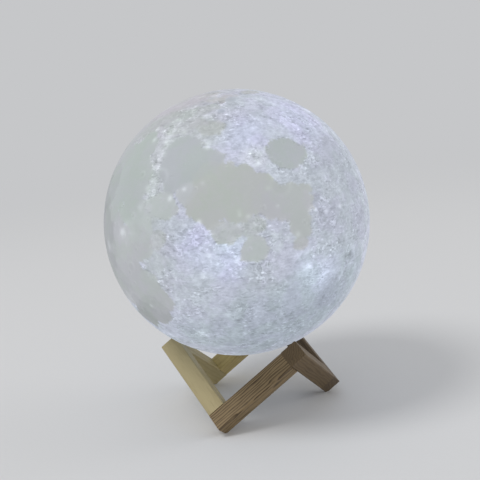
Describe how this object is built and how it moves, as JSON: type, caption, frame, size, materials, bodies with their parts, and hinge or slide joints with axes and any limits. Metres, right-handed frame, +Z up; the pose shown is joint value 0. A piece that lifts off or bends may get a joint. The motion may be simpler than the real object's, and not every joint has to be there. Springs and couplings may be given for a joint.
{
  "type": "moon lamp",
  "caption": "Glowing moon globe that rests on three corners of a zigzag wooden stand; twist-out rechargeable light module underneath with touch ring and charging socket.",
  "frame": {"origin": "on the surface that the feet stand on, on the vertical axis through the globe's centre", "axes": "+Z up; one of the three feet points to -Y, the open front of the lamp as pictured"},
  "size_m": [0.15, 0.15, 0.1843],
  "materials": {
    "beech": "oiled, open grain, satin",
    "dowel_wood": "raw, glued in",
    "moon_plastic": "printed, matt, glows from inside",
    "white_plastic": "moulded, fine satin",
    "screw_steel": "zinc plated",
    "touch_metal": "bright nickel",
    "contact_brass": "gold-coloured plating",
    "black_plastic": "moulded, matt",
    "clear_plastic": "clear, polished",
    "indicator_red": "small lamp",
    "board_green": "solder mask",
    "chip_black": "moulded, matt",
    "coil_grey": "pressed powder",
    "capacitor_tan": "ceramic with tinned ends",
    "plug_white": "moulded nylon",
    "cell_foil": "laminated foil pouch",
    "pad_foam": "closed-cell foam tape",
    "lead_red": "insulated wire",
    "lead_white": "insulated wire",
    "led_board_white": "white solder mask on aluminium",
    "led_glow": "white emitters",
    "dome_opal": "milky, satin"
  },
  "bodies": {
    "stand": {"stand_bar_front_left": "beech", "stand_bar_front_right": "beech", "stand_bar_right": "beech", "stand_bar_back_right": "beech", "stand_bar_back_left": "beech", "stand_bar_left": "beech", "stand_dowels": "dowel_wood"},
    "globe": {"moon_shell": "moon_plastic", "socket_collar": "white_plastic"},
    "light_module": {"base_cover": "white_plastic", "cover_screws": "screw_steel", "touch_ring": "touch_metal", "touch_contact": "contact_brass", "charging_jack": "black_plastic", "charge_light_pipe": "clear_plastic", "charge_indicator": "indicator_red", "main_board": "board_green", "board_screws": "screw_steel", "charger_chip": "chip_black", "touch_chip": "chip_black", "power_coil": "coil_grey", "capacitors": "capacitor_tan", "battery_plug": "plug_white", "led_plug": "plug_white", "battery_cell": "cell_foil", "battery_pad": "pad_foam", "battery_leads": "lead_red", "led_leads": "lead_white", "lamp_tower": "white_plastic", "led_board": "led_board_white", "led_terminal": "plug_white", "led_emitters": "led_glow", "led_board_screws": "screw_steel", "diffuser_dome": "dome_opal"}
  },
  "joints": [
    {"name": "globe_lift", "type": "slide", "parent": "stand", "child": "globe", "axis": [0, 0, 1], "range_m": [0, 0.1]},
    {"name": "module_twist", "type": "hinge", "parent": "globe", "child": "light_module", "pos_m": [0, 0, 0.0374], "axis": [0, 0, -1], "range_deg": [0, 60]}
  ]
}
